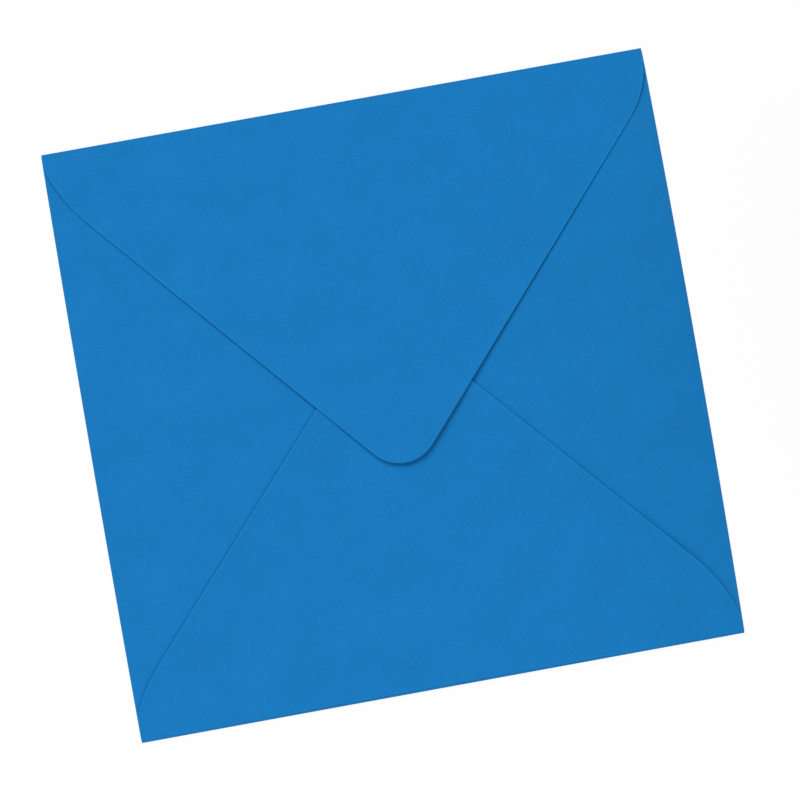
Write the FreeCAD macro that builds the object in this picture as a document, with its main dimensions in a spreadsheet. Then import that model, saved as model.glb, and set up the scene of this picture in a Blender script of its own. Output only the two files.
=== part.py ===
import FreeCAD, Part
import Sketcher
import collections
import enum
import math
import os

from FreeCAD import Vector

# A square-flap paper envelope lying on its address side, flap side up, in millimetres.
# The whole thing is one cut sheet, folded on four sides: two side flaps first, then the
# bottom flap glued over them, then the pointed top flap, which is closed but not stuck.
# Frame: +X to the envelope's right, +Y towards the top fold, +Z up, with the origin under
# the middle of the envelope on the surface that it lies on.

DRIVING_SIZES = [
    ("width", 155.0, "across the side folds at mid-height"),
    ("height", 150.0, "from the bottom fold to the top fold"),
    ("paper", 0.16, "thickness of the sheet"),
    ("pocket_gap", 0.35, "air between the front panel and the side flaps"),
    ("flap_gap", 0.10, "air between the bottom flap and the top flap at its fold"),
    ("side_bow", 0.45, "how far each side fold bulges past its own ends"),
    ("corner_relief", 0.10, "how far the top and bottom folds stop short of the side folds"),
    ("top_reach", 92.6, "from the top fold to the tip of the top flap"),
    ("top_drop", 9.6, "down the side, where the top flap's straight edge would meet it"),
    ("top_shoulder_rise", 4.5, "from there up to where the shoulder leaves the side"),
    ("top_shoulder_radius", 34.0, "round shoulder of the top flap"),
    ("top_tip_radius", 10.0, "round tip of the top flap"),
    ("tip_lift", 1.0, "how far the unstuck tip has sprung up"),
    ("tip_overlap", 34.8, "how far the bottom flap's tip runs on past the top flap's tip"),
    ("bottom_drop", 10.3, "up the side, where the bottom flap's straight edge would meet it"),
    ("bottom_shoulder_rise", 3.8, "from there down to where the shoulder leaves the side"),
    ("bottom_shoulder_radius", 45.0, "round shoulder of the bottom flap"),
    ("bottom_tip_radius", 10.0, "round tip of the bottom flap"),
    ("side_tip_gap", 21.0, "between the tips of the two side flaps"),
    ("side_tip_radius", 8.0, "round tip of a side flap"),
    ("trim_margin", 2.0, "waste round the top flap's strip that its outline cuts away"),
]

# Outer radius of each fold, which grows with the layers that it goes round.
SIDE_FOLD = "(Sizes.paper + Sizes.pocket_gap / 2)"
BOTTOM_FOLD = f"({SIDE_FOLD} + Sizes.paper / 2)"
TOP_FOLD = f"({BOTTOM_FOLD} + (Sizes.flap_gap + Sizes.paper) / 2)"

# The front panel lies between the lines where the paper starts to bend. Its two sides
# are arcs about centres far away on the other side, level with the panel's middle.
PANEL_TOP = f"(Sizes.height / 2 - {TOP_FOLD})"
PANEL_BOTTOM = f"(Sizes.height / 2 - {BOTTOM_FOLD})"
PANEL_HALF = f"(({PANEL_TOP} + {PANEL_BOTTOM}) / 2)"
PANEL_MIDDLE = f"(({PANEL_TOP} - {PANEL_BOTTOM}) / 2)"
FOLD_LINE = f"(Sizes.width / 2 - {SIDE_FOLD})"
FOLD_LINE_END = f"({FOLD_LINE} - Sizes.side_bow)"
BOW_RADIUS = f"(({PANEL_HALF} ^ 2 + Sizes.side_bow ^ 2) / (2 * Sizes.side_bow))"
BOW_ANGLE = f"(2 * asin({PANEL_HALF} / {BOW_RADIUS}))"

# The top and bottom flaps are strips of this half width at their folds. Their straight
# edges point at the corner line, which runs through the outermost points of the corners.
STRIP_HALF = f"({FOLD_LINE_END} - Sizes.corner_relief)"
CORNER_HALF = "(Sizes.width / 2 - Sizes.side_bow)"
BOTTOM_REACH = "(Sizes.height - Sizes.top_reach + Sizes.tip_overlap)"

# The side flaps' tips are level with the place where the edges of the other two cross.
SIDE_TIP_LEVEL = f"(({BOTTOM_REACH} - Sizes.top_reach) / 2)"
SIDE_TIP_CENTRE = "(Sizes.side_tip_gap / 2 + Sizes.side_tip_radius)"

# Levels of the layers above the surface that the envelope lies on.
SIDE_FLAP_LEVEL = "(Sizes.paper + Sizes.pocket_gap)"
BOTTOM_FLAP_LEVEL = f"(2 * {SIDE_FOLD})"
TRIM_LEVEL = f"(2 * {BOTTOM_FOLD} + Sizes.flap_gap / 2)"
TRIM_HEIGHT = "(Sizes.flap_gap + 2 * Sizes.paper + 2 * Sizes.tip_lift)"

# The top flap rises from its fold along one large arc, tangent to the fold's end.
CURL_RUN = f"(Sizes.top_reach - {TOP_FOLD})"
CURL_RADIUS = f"(({CURL_RUN} ^ 2 + Sizes.tip_lift ^ 2) / (2 * Sizes.tip_lift))"


class Place(enum.IntEnum):
    """Points of an edge, by the numbers that a sketch gives them."""

    START = 1
    END = 2
    CENTRE = 3


class Axis(enum.IntEnum):
    """The sketch's own axes, which every sketch has, by the numbers that it gives them."""

    ACROSS = -1
    UPRIGHT = -2


ORIGIN = (Axis.ACROSS, Place.START)

# An edge of a sketch, with its ends in the order that the outline runs through them.
Edge = collections.namedtuple("Edge", "index first last")


def fill_size_table(doc):
    """Write the driving sizes into a table, one row each."""
    table = doc.addObject("Spreadsheet::Sheet", "Sizes")
    for row, (name, size, meaning) in enumerate(DRIVING_SIZES, start=1):
        table.set(f"A{row}", name)
        table.set(f"B{row}", str(size))
        table.set(f"C{row}", meaning)
        table.setAlias(f"B{row}", name)
    doc.recompute()


def own_plane(body, role):
    """Origin plane of a body, by its role."""
    return next(plane for plane in body.Origin.OriginFeatures if plane.Role == role)


class Outline:
    """A sketch on one of the body's own planes, held edge by edge by the table's sizes.

    Each edge is drawn at its true place first, so that the constraints find it there.
    """

    def __init__(self, body, name, plane, level="0", shift="0"):
        self.table = body.Document.Sizes
        self.sketch = body.newObject("Sketcher::SketchObject", name)
        self.sketch.AttachmentSupport = (own_plane(body, plane), [""])
        self.sketch.MapMode = "FlatFace"
        self.sketch.setExpression(".AttachmentOffset.Base.x", f"{shift} * 1 mm")
        self.sketch.setExpression(".AttachmentOffset.Base.z", f"{level} * 1 mm")

    def values(self, *expressions):
        """Present values of expressions of the table's cells."""
        return [float(self.table.evalExpression(expression)) for expression in expressions]

    def line(self, first, last):
        """Straight edge from one point to another."""
        index = self.sketch.addGeometry(Part.LineSegment(first, last), False)
        return Edge(index, (index, Place.START), (index, Place.END))

    def arc(self, centre, first, last, turn=1):
        """Round edge from one point to another, anticlockwise, or clockwise if turn is -1."""
        arms = [point - centre for point in (first, last)[::turn]]
        circle = Part.Circle(centre, Vector(0, 0, 1), arms[0].Length)
        angles = [math.atan2(arm.y, arm.x) for arm in arms]
        index = self.sketch.addGeometry(Part.ArcOfCircle(circle, *angles), False)
        return Edge(index, *((index, Place.START), (index, Place.END))[::turn])

    def mark(self, point):
        """Construction point that an edge runs through when drawn out."""
        return (self.sketch.addGeometry(Part.Point(point), True), Place.START)

    def tie(self, kind, *where):
        """Constraint that has no size of its own."""
        self.sketch.addConstraint(Sketcher.Constraint(kind, *where))

    def size(self, kind, *where, to):
        """Constraint whose size follows an expression of the table's cells."""
        index = self.sketch.addConstraint(Sketcher.Constraint(kind, *where, *self.values(to)))
        self.sketch.setExpression(f"Constraints[{index}]", f"{to} * 1 mm")

    def chain(self, *edges, kind="Coincident"):
        """Make each edge start where the one before it ends."""
        for edge, following in zip(edges, edges[1:]):
            self.tie(kind, *edge.last, *following.first)

    def check(self):
        """Stop if anything in the sketch is loose or held twice."""
        if self.sketch.solve() != 0 or not self.sketch.FullyConstrained:
            raise RuntimeError(f"{self.sketch.Name} isn't held by exactly its sizes")


def add_feature(body, kind, outline, name, **sizes):
    """Feature made from an outline, with the named properties bound to expressions."""
    outline.check()
    feature = body.newObject(kind, name)
    feature.Profile = outline.sketch
    for prop, expression in sizes.items():
        feature.setExpression(prop, expression)
    return feature


def touching_point(centre, radius, point, turn):
    """Where a straight line from a point touches a circle, on the side that turn gives."""
    arm = point - centre
    angle = math.atan2(arm.y, arm.x) + turn * math.acos(radius / arm.Length)
    return centre + Vector(math.cos(angle), math.sin(angle)) * radius


def mirrored(point):
    """The same point on the other side of the sketch's upright axis."""
    return Vector(-point.x, point.y)


def draw_fold_line(outline, side):
    """Bowed fold line of one side of the front panel, run through anticlockwise."""
    across, end, radius = outline.values(FOLD_LINE, FOLD_LINE_END, BOW_RADIUS)
    middle, half = outline.values(PANEL_MIDDLE, PANEL_HALF)
    ends = [Vector(side * end, middle + step * side * half) for step in (-1, 1)]
    edge = outline.arc(Vector(side * (across - radius), middle), *ends)
    outline.size("Radius", edge.index, to=BOW_RADIUS)
    return edge, ends


def add_front_panel(body):
    """The address side: a rectangle whose two sides bulge a little."""
    outline = Outline(body, "PanelOutline", "XY_Plane")
    right, (bottom_right, top_right) = draw_fold_line(outline, 1)
    left, (top_left, bottom_left) = draw_fold_line(outline, -1)
    top = outline.line(top_right, top_left)
    bottom = outline.line(bottom_left, bottom_right)
    outline.chain(right, top, left, bottom, right)
    outline.tie("Symmetric", *top.first, *top.last, Axis.UPRIGHT)
    outline.tie("Symmetric", *bottom.first, *bottom.last, Axis.UPRIGHT)
    outline.tie("Vertical", *top.first, *bottom.last)
    outline.size("DistanceX", *ORIGIN, *top.first, to=FOLD_LINE_END)
    outline.size("DistanceY", *ORIGIN, *top.first, to=PANEL_TOP)
    outline.size("DistanceY", *bottom.last, *ORIGIN, to=PANEL_BOTTOM)
    return add_feature(body, "PartDesign::Pad", outline, "FrontPanel", Length="Sizes.paper")


def draw_fold_section(outline, side, centre, radius):
    """Half ring of folded paper that bulges to one side of the sketch."""
    across, bend, paper = outline.values(centre, radius, "Sizes.paper")
    levels = (0, 2 * bend, 2 * bend - paper, paper)
    outer_low, outer_high, inner_high, inner_low = [Vector(side * across, level) for level in levels]
    middle = Vector(side * across, bend)
    outer = outline.arc(middle, outer_low, outer_high, side)
    upper = outline.line(outer_high, inner_high)
    inner = outline.arc(middle, inner_high, inner_low, -side)
    lower = outline.line(inner_low, outer_low)
    outline.chain(outer, upper, inner, lower, outer)
    outer_centre, inner_centre = (outer.index, Place.CENTRE), (inner.index, Place.CENTRE)
    outline.tie("Coincident", *outer_centre, *inner_centre)
    outline.tie("Vertical", *outer.first, *outer_centre)
    outline.tie("Vertical", *outer_centre, *outer.last)
    outline.tie("Vertical", upper.index)
    outline.tie("Vertical", lower.index)
    nearer, further = (ORIGIN, outer_centre)[::side]
    outline.size("DistanceX", *nearer, *further, to=centre)
    outline.size("DistanceY", *ORIGIN, *outer_centre, to=radius)
    outline.size("Radius", outer.index, to=radius)
    outline.size("Radius", inner.index, to=f"({radius} - Sizes.paper)")


def add_side_fold(body):
    """Right fold: the half ring turned about the far centre of the bowed fold line."""
    outline = Outline(body, "SideFoldSection", "XZ_Plane",
                      level=f"(-{PANEL_MIDDLE})", shift=f"({FOLD_LINE} - {BOW_RADIUS})")
    draw_fold_section(outline, 1, BOW_RADIUS, SIDE_FOLD)
    fold = add_feature(body, "PartDesign::Revolution", outline, "RightFold", Angle=BOW_ANGLE)
    fold.ReferenceAxis = (outline.sketch, ["V_Axis"])
    fold.Midplane = True
    return fold


def add_side_flap(body):
    """Right flap: a triangle on the fold line with its tip rounded off."""
    outline = Outline(body, "SideFlapOutline", "XY_Plane", level=SIDE_FLAP_LEVEL)
    radius, across, level = outline.values("Sizes.side_tip_radius", SIDE_TIP_CENTRE, SIDE_TIP_LEVEL)
    middle = Vector(across, level)
    fold_line, (low, high) = draw_fold_line(outline, 1)
    upper_touch = touching_point(middle, radius, high, 1)
    lower_touch = touching_point(middle, radius, low, -1)
    upper = outline.line(high, upper_touch)
    tip = outline.arc(middle, upper_touch, lower_touch)
    lower = outline.line(lower_touch, low)
    outline.chain(lower, fold_line, upper)
    outline.chain(upper, tip, lower, kind="Tangent")
    outline.tie("Vertical", *fold_line.first, *fold_line.last)
    outline.size("DistanceX", *ORIGIN, *fold_line.last, to=FOLD_LINE_END)
    outline.size("DistanceY", *ORIGIN, *fold_line.last, to=PANEL_TOP)
    outline.size("DistanceY", *fold_line.first, *ORIGIN, to=PANEL_BOTTOM)
    outline.size("Radius", tip.index, to="Sizes.side_tip_radius")
    tip_centre = (tip.index, Place.CENTRE)
    outline.size("DistanceX", *ORIGIN, *tip_centre, to=SIDE_TIP_CENTRE)
    outline.size("DistanceY", *fold_line.first, *tip_centre, to=f"({SIDE_TIP_LEVEL} + {PANEL_BOTTOM})")
    return add_feature(body, "PartDesign::Pad", outline, "RightFlap", Length="Sizes.paper")


def mirror_sides(body, *features):
    """Repeat the right fold and flap on the left."""
    mirror = body.newObject("PartDesign::Mirrored", "LeftFoldAndFlap")
    mirror.Originals = list(features)
    mirror.MirrorPlane = (own_plane(body, "YZ_Plane"), [""])
    body.Tip = mirror


def draw_pointed_edge(outline, flap, points, reach):
    """Cut edge of the top or bottom flap, from its right end round the tip to the left.

    It is two straight edges from a round tip, each ending in a round shoulder at the
    side. points is 1 for a flap that points up the sketch and -1 for one that points down.
    """
    drop, rise = f"Sizes.{flap}_drop", f"Sizes.{flap}_shoulder_rise"
    shoulder_radius, tip_radius = f"Sizes.{flap}_shoulder_radius", f"Sizes.{flap}_tip_radius"
    depth, corner_depth, end_depth = outline.values(f"{reach} - {tip_radius}", drop, f"{drop} - {rise}")
    half_height, corner_half, strip_half = outline.values("Sizes.height / 2", CORNER_HALF, STRIP_HALF)
    bend, tip_bend = outline.values(shoulder_radius, tip_radius)

    tip_centre = Vector(0, points * (depth - half_height))
    corner = Vector(corner_half, points * (corner_depth - half_height))
    side_end = Vector(strip_half, points * (end_depth - half_height))
    touch = touching_point(tip_centre, tip_bend, corner, points)
    along = (touch - corner).normalize()
    outward = (touch - tip_centre).normalize()
    inset = (corner - side_end).dot(outward)
    run = (side_end - corner).dot(along) + math.sqrt(bend ** 2 - (bend - inset) ** 2)
    straight_end = corner + along * run
    bend_centre = straight_end - outward * bend

    right_shoulder = outline.arc(bend_centre, side_end, straight_end, points)
    right = outline.line(straight_end, touch)
    tip = outline.arc(tip_centre, touch, mirrored(touch), points)
    left = outline.line(mirrored(touch), mirrored(straight_end))
    left_shoulder = outline.arc(mirrored(bend_centre), mirrored(straight_end), mirrored(side_end), points)
    outline.chain(right_shoulder, right, tip, left, left_shoulder, kind="Tangent")
    outline.tie("Symmetric", *right_shoulder.first, *left_shoulder.last, Axis.UPRIGHT)
    outline.tie("Equal", right_shoulder.index, left_shoulder.index)
    outline.tie("PointOnObject", tip.index, Place.CENTRE, Axis.UPRIGHT)
    outline.size("Radius", right_shoulder.index, to=shoulder_radius)
    outline.size("Radius", tip.index, to=tip_radius)

    right_mark, left_mark = outline.mark(corner), outline.mark(mirrored(corner))
    outline.tie("Symmetric", *right_mark, *left_mark, Axis.UPRIGHT)
    outline.tie("PointOnObject", *right_mark, right.index)
    outline.tie("PointOnObject", *left_mark, left.index)

    def rising(low, high, distance):
        """Height of one point over another, seen with the flap pointing up."""
        outline.size("DistanceY", *(low + high if points > 0 else high + low), to=distance)

    outline.size("DistanceX", *ORIGIN, *right_mark, to=CORNER_HALF)
    outline.size("DistanceX", *ORIGIN, *right_shoulder.first, to=STRIP_HALF)
    rising(right_mark, ORIGIN, f"(Sizes.height / 2 - {drop})")
    rising(right_shoulder.first, right_mark, rise)
    rising(right_mark, (tip.index, Place.CENTRE), f"({reach} - {tip_radius} - {drop})")
    return right_shoulder, left_shoulder, side_end


def add_bottom_fold(body):
    """Half ring along the bottom edge."""
    outline = Outline(body, "BottomFoldSection", "YZ_Plane")
    draw_fold_section(outline, -1, PANEL_BOTTOM, BOTTOM_FOLD)
    fold = add_feature(body, "PartDesign::Pad", outline, "BottomFold", Length=f"2 * {STRIP_HALF}")
    fold.SideType = "Symmetric"
    return fold


def add_bottom_flap(body):
    """Bottom flap, lying on the side flaps and glued to them where they meet."""
    outline = Outline(body, "BottomFlapOutline", "XY_Plane", level=BOTTOM_FLAP_LEVEL)
    right_shoulder, left_shoulder, side_end = draw_pointed_edge(outline, "bottom", 1, BOTTOM_REACH)
    base = Vector(side_end.x, -outline.values(PANEL_BOTTOM)[0])
    left_side = outline.line(mirrored(side_end), mirrored(base))
    fold_line = outline.line(mirrored(base), base)
    right_side = outline.line(base, side_end)
    outline.chain(left_shoulder, left_side, fold_line, right_side, right_shoulder)
    outline.tie("Vertical", left_side.index)
    outline.tie("Vertical", right_side.index)
    outline.tie("Horizontal", fold_line.index)
    outline.size("DistanceY", *fold_line.first, *ORIGIN, to=PANEL_BOTTOM)
    return add_feature(body, "PartDesign::Pad", outline, "BottomFlap", Length="Sizes.paper")


def add_top_strip(body):
    """Top fold with the top flap's whole strip, curving up from the fold to past the tip."""
    outline = Outline(body, "TopFlapSection", "YZ_Plane")
    paper, bend, across = outline.values("Sizes.paper", TOP_FOLD, PANEL_TOP)
    curl, run = outline.values(CURL_RADIUS, f"{CURL_RUN} + Sizes.trim_margin")
    fold_centre = Vector(across, bend)
    curl_centre = Vector(across, 2 * bend - paper / 2 + curl)
    levels = (0, 2 * bend, 2 * bend - paper, paper)
    outer_low, outer_high, inner_high, inner_low = [Vector(across, level) for level in levels]
    upper_end, lower_end = [
        curl_centre - Vector(run, math.sqrt(radius ** 2 - run ** 2))
        for radius in (curl - paper / 2, curl + paper / 2)
    ]
    outer = outline.arc(fold_centre, outer_low, outer_high)
    upper = outline.arc(curl_centre, outer_high, upper_end, -1)
    cut = outline.line(upper_end, lower_end)
    lower = outline.arc(curl_centre, lower_end, inner_high)
    inner = outline.arc(fold_centre, inner_high, inner_low, -1)
    panel_end = outline.line(inner_low, outer_low)
    outline.chain(outer, upper, cut, lower, inner, panel_end, outer)
    bend_centre, curve_centre = (outer.index, Place.CENTRE), (upper.index, Place.CENTRE)
    outline.tie("Coincident", *bend_centre, inner.index, Place.CENTRE)
    outline.tie("Coincident", *curve_centre, lower.index, Place.CENTRE)
    for end in (outer.first, outer.last, inner.first, inner.last, curve_centre):
        outline.tie("Vertical", *bend_centre, *end)
    outline.tie("Vertical", cut.index)
    outline.size("DistanceX", *ORIGIN, *bend_centre, to=PANEL_TOP)
    outline.size("DistanceY", *ORIGIN, *bend_centre, to=TOP_FOLD)
    outline.size("Radius", outer.index, to=TOP_FOLD)
    outline.size("Radius", inner.index, to=f"({TOP_FOLD} - Sizes.paper)")
    outline.size("Radius", upper.index, to=f"({CURL_RADIUS} - Sizes.paper / 2)")
    outline.size("DistanceX", *cut.first, *bend_centre, to=f"({CURL_RUN} + Sizes.trim_margin)")
    strip = add_feature(body, "PartDesign::Pad", outline, "TopStrip", Length=f"2 * {STRIP_HALF}")
    strip.SideType = "Symmetric"
    return strip


def trim_top_flap(body):
    """Cut the strip to the top flap's outline, from just over the bottom flap upwards."""
    outline = Outline(body, "TopFlapOutline", "XY_Plane", level=TRIM_LEVEL)
    right_shoulder, left_shoulder, side_end = draw_pointed_edge(outline, "top", -1, "Sizes.top_reach")
    margin, reach, half_height = outline.values("Sizes.trim_margin", "Sizes.top_reach", "Sizes.height / 2")
    outer_high = side_end + Vector(margin, 0)
    outer_low = Vector(outer_high.x, half_height - reach - 2 * margin)
    left_high = outline.line(mirrored(side_end), mirrored(outer_high))
    left_side = outline.line(mirrored(outer_high), mirrored(outer_low))
    bottom = outline.line(mirrored(outer_low), outer_low)
    right_side = outline.line(outer_low, outer_high)
    right_high = outline.line(outer_high, side_end)
    outline.chain(left_shoulder, left_high, left_side, bottom, right_side, right_high, right_shoulder)
    for line in (left_high, bottom, right_high):
        outline.tie("Horizontal", line.index)
    for line in (left_side, right_side):
        outline.tie("Vertical", line.index)
    outline.tie("Equal", left_high.index, right_high.index)
    outline.size("DistanceX", *right_shoulder.first, *right_high.first, to="Sizes.trim_margin")
    outline.size("DistanceY", *bottom.last, *right_shoulder.first,
                 to="(Sizes.top_reach + 2 * Sizes.trim_margin - Sizes.top_drop + Sizes.top_shoulder_rise)")
    trim = add_feature(body, "PartDesign::Pocket", outline, "TopFlapCut", Length=TRIM_HEIGHT)
    trim.Reversed = True
    return trim


def build_envelope(doc):
    """The whole folded sheet, as one solid that grows fold by fold."""
    body = doc.addObject("PartDesign::Body", "Envelope")
    body.Label = "envelope"
    body.Placement = FreeCAD.Placement()
    add_front_panel(body)
    mirror_sides(body, add_side_fold(body), add_side_flap(body))
    add_bottom_fold(body)
    add_bottom_flap(body)
    add_top_strip(body)
    trim_top_flap(body)
    doc.recompute()
    return body


def check_document(doc):
    """Stop if any object failed, or if a feature changed nothing."""
    for item in doc.Objects:
        if "Invalid" in item.State or "Error" in item.State:
            raise RuntimeError(f"{item.Name} failed: {item.State}")
    volume = 0.0
    for feature in doc.Envelope.Group:
        if feature.isDerivedFrom("Sketcher::SketchObject"):
            continue
        change = feature.Shape.Volume - volume
        removes = feature.TypeId == "PartDesign::Pocket"
        if change == 0 or (change < 0) != removes:
            raise RuntimeError(f"{feature.Name} changed the volume by {change:.3f} mm3")
        volume = feature.Shape.Volume
        print(f"{feature.Name}: {volume:.2f} mm3")


def main():
    """Build the envelope, check it and write it out."""
    doc = FreeCAD.newDocument("PaperEnvelope")
    fill_size_table(doc)
    envelope = build_envelope(doc)
    check_document(doc)
    shape = envelope.Shape
    if shape.isNull() or not shape.isValid() or len(shape.Solids) != 1:
        raise RuntimeError("the envelope isn't one valid solid")
    os.makedirs("parts", exist_ok=True)
    shape.exportStep(f"parts/{envelope.Label}.step")
    box = shape.BoundBox
    print(f"{envelope.Label}: {box.XLength:.3f} x {box.YLength:.3f} x {box.ZLength:.3f} mm")
    print(f"from {box.XMin:.3f}, {box.YMin:.3f}, {box.ZMin:.3f}; volume {shape.Volume:.1f} mm3")


main()
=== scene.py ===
"""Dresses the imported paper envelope, which lies on its address side with its flaps up.

The envelope is one sheet of dyed paper, cut to a blank and folded on four sides: two side
flaps first, then the bottom flap glued over them, then the pointed top flap, closed but
not stuck. It is built here as that one sheet, with the small unevenness of a real one.

Frame: +X to the envelope's right, +Y towards the top fold, +Z up from the surface that it
lies on. The sheet's classes hold their sizes in millimetres. The meshes, the floor, the
card, the lamps and the camera are in metres.
"""

import logging
import math
from dataclasses import dataclass
from enum import Enum
from typing import Any, Sequence

import bpy
import numpy as np
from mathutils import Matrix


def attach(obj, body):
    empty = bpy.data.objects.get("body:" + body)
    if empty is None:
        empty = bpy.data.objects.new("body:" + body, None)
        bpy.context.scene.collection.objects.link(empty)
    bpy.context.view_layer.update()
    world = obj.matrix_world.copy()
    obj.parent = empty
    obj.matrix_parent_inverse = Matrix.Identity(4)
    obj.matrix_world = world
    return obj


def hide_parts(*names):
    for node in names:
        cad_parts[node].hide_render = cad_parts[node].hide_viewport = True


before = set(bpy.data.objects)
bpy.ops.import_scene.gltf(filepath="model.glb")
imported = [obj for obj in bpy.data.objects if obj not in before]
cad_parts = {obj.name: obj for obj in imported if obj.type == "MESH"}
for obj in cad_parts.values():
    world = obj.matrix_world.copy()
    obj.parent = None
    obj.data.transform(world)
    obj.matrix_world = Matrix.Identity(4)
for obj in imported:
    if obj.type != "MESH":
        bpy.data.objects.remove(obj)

logging.basicConfig(level=logging.INFO, format="%(message)s")
log = logging.getLogger("envelope")

METRES = 0.001

# Millimetres of the blank across one unit of its map.
BLANK_SPAN = 720.0

# Distance to the cut edge on a panel that has none.
FAR = 9.0


def arc(centre: np.ndarray, radius: float, first: float, last: float,
        count: int = 48) -> np.ndarray:
    """Points along a circle: the centre plus the radius times (cos, sin) of evenly spaced angles.

    Args:
        centre: The circle's centre.
        radius: Its radius.
        first: Angle of the first point, in radians.
        last: Angle of the last point, in radians.
        count: How many points.

    Returns:
        The points, one row each.
    """
    angle = np.linspace(first, last, count)
    return centre + radius * np.stack([np.cos(angle), np.sin(angle)], axis=1)


def step_along(path: np.ndarray, count: int, crowding: float) -> np.ndarray:
    """Points at chosen shares of a path's length, closer together towards its two ends.

    The share is a blend of t and (1 - cos(pi t)) / 2, for t evenly spaced from 0 to 1.

    Args:
        path: Closely spaced points of the path, one row each.
        count: How many points to return.
        crowding: Share of the cosine in the blend.

    Returns:
        The points, one row each.
    """
    length = np.concatenate([[0.0], np.cumsum(np.linalg.norm(np.diff(path, axis=0), axis=1))])
    even = np.linspace(0.0, 1.0, count)
    share = (1 - crowding) * even + crowding * (1 - np.cos(np.pi * even)) / 2
    reached = share * length[-1]
    return np.stack([np.interp(reached, length, path[:, axis]) for axis in (0, 1)], axis=1)


def distance_to_path(points: np.ndarray, path: np.ndarray) -> np.ndarray:
    """Shortest distance from each point to a path of straight pieces.

    A point is projected on every piece, the projection is held between the piece's ends,
    and the smallest distance counts.

    Args:
        points: Array of points whose last axis is (x, y).
        path: Points of the path, one row each.

    Returns:
        One distance for each point.
    """
    start, step = path[:-1], np.diff(path, axis=0)
    reach = points[..., None, :] - start
    share = np.clip((reach * step).sum(-1) / (step ** 2).sum(-1), 0.0, 1.0)
    return np.sqrt(((reach - share[..., None] * step) ** 2).sum(-1)).min(-1)


def steps_from_fold(count: int, power: float) -> np.ndarray:
    """Shares of the way from a fold to a cut edge: 1 - (1 - t)^power for even steps t.

    One more step close to the fold keeps the fold's rounding out of the flat paper's
    shading.

    Args:
        count: How many shares.
        power: 1 for even steps, and more than 1 to crowd them towards the cut edge.

    Returns:
        The shares, from 0 to 1.
    """
    even = 1 - (1 - np.linspace(0, 1, count - 1)) ** power
    return np.concatenate([even[:1], [0.003], even[1:]])


def rise(distance: np.ndarray, run: float) -> np.ndarray:
    """One minus exp(-distance / run): 0 on a fold, level again a few runs away."""
    return 1 - np.exp(-np.maximum(distance, 0.0) / run)


def ramp(value: np.ndarray, start: float, end: float) -> np.ndarray:
    """The smooth step 3 s^2 - 2 s^3 from 0 at a start to 1 at an end, and level outside them."""
    share = np.clip((value - start) / (end - start), 0.0, 1.0)
    return share * share * (3 - 2 * share)


class Side(Enum):
    """The two sides of the envelope, as the sign of X."""

    LEFT = -1
    RIGHT = 1


class PaperFace(Enum):
    """Faces of the folded sheet. The value is the face's column in the blank's map."""

    OUTER = 0.0
    INNER = 0.5


@dataclass(frozen=True)
class Shoulder:
    """Round corner of a flap, from its straight edge up to its side."""

    radius: float
    joins_at: float


@dataclass(frozen=True)
class PointedEdge:
    """Cut edge of a flap: two straight edges from a round tip, each ending in a round shoulder.

    It is drawn on a plane of (position along the fold, depth from the fold's crease).
    """

    apex: tuple[float, float]
    low_spread: float
    high_spread: float
    tip_radius: float
    low_shoulder: Shoulder
    high_shoulder: Shoulder

    def outward(self, sign: int) -> np.ndarray:
        """Unit normal of the straight edge on one side, away from the flap."""
        spread = self.high_spread if sign > 0 else self.low_spread
        return np.array([sign, spread]) / math.hypot(1.0, spread)

    def tip_centre(self) -> np.ndarray:
        """Centre of the round tip, one radius inside both straight edges."""
        normals = np.stack([self.outward(-1), self.outward(1)])
        return np.array(self.apex) + np.linalg.solve(normals, [-self.tip_radius, -self.tip_radius])

    def half(self, sign: int, end: float) -> np.ndarray:
        """Half of the edge, from the bottom of the tip to where the shoulder meets the side.

        The tip's arc ends where its radius is square to the straight edge. The shoulder's
        arc starts square to that edge too, and ends where the circle crosses the side:
        depth = centre + sqrt(radius^2 - (end - centre)^2).

        Args:
            sign: 1 for the half on the high side, -1 for the low side.
            end: Where the flap's side stands along the fold.

        Returns:
            Points of (position, depth), one row each.
        """
        spread = self.high_spread if sign > 0 else self.low_spread
        shoulder = self.high_shoulder if sign > 0 else self.low_shoulder
        normal = self.outward(sign)
        facing = math.atan2(normal[1], normal[0])
        position = self.apex[0] + sign * spread * (self.apex[1] - shoulder.joins_at)
        join = np.array([position, shoulder.joins_at])
        centre = join - shoulder.radius * normal
        across = end - centre[0]
        last = math.atan2(math.sqrt(max(shoulder.radius ** 2 - across ** 2, 0.0)), across)
        tip = arc(self.tip_centre(), self.tip_radius, math.pi / 2, facing)
        return np.concatenate([tip, arc(centre, shoulder.radius, facing, last)])

    def outline(self, low_end: float, high_end: float, count: int, crowding: float) -> np.ndarray:
        """The whole edge from its low side to its high side, in steps of its length.

        Args:
            low_end: Where the flap's low side stands along the fold.
            high_end: Where its high side stands.
            count: How many points.
            crowding: How much closer the points stand near the two sides.

        Returns:
            Points of (position, depth), one row each.
        """
        low, high = self.half(-1, low_end), self.half(1, high_end)
        return step_along(np.concatenate([low[::-1], high[1:]]), count, crowding)


@dataclass(frozen=True)
class Swell:
    """Soft rise or dent left by handling: height times exp(-(dx/rx)^2 - (dy/ry)^2)."""

    x: float
    y: float
    spread_x: float
    spread_y: float
    height: float

    def at(self, x: np.ndarray, y: np.ndarray) -> np.ndarray:
        """Height of the swell over each point."""
        across, along = (x - self.x) / self.spread_x, (y - self.y) / self.spread_y
        return self.height * np.exp(-across ** 2 - along ** 2)


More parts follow.
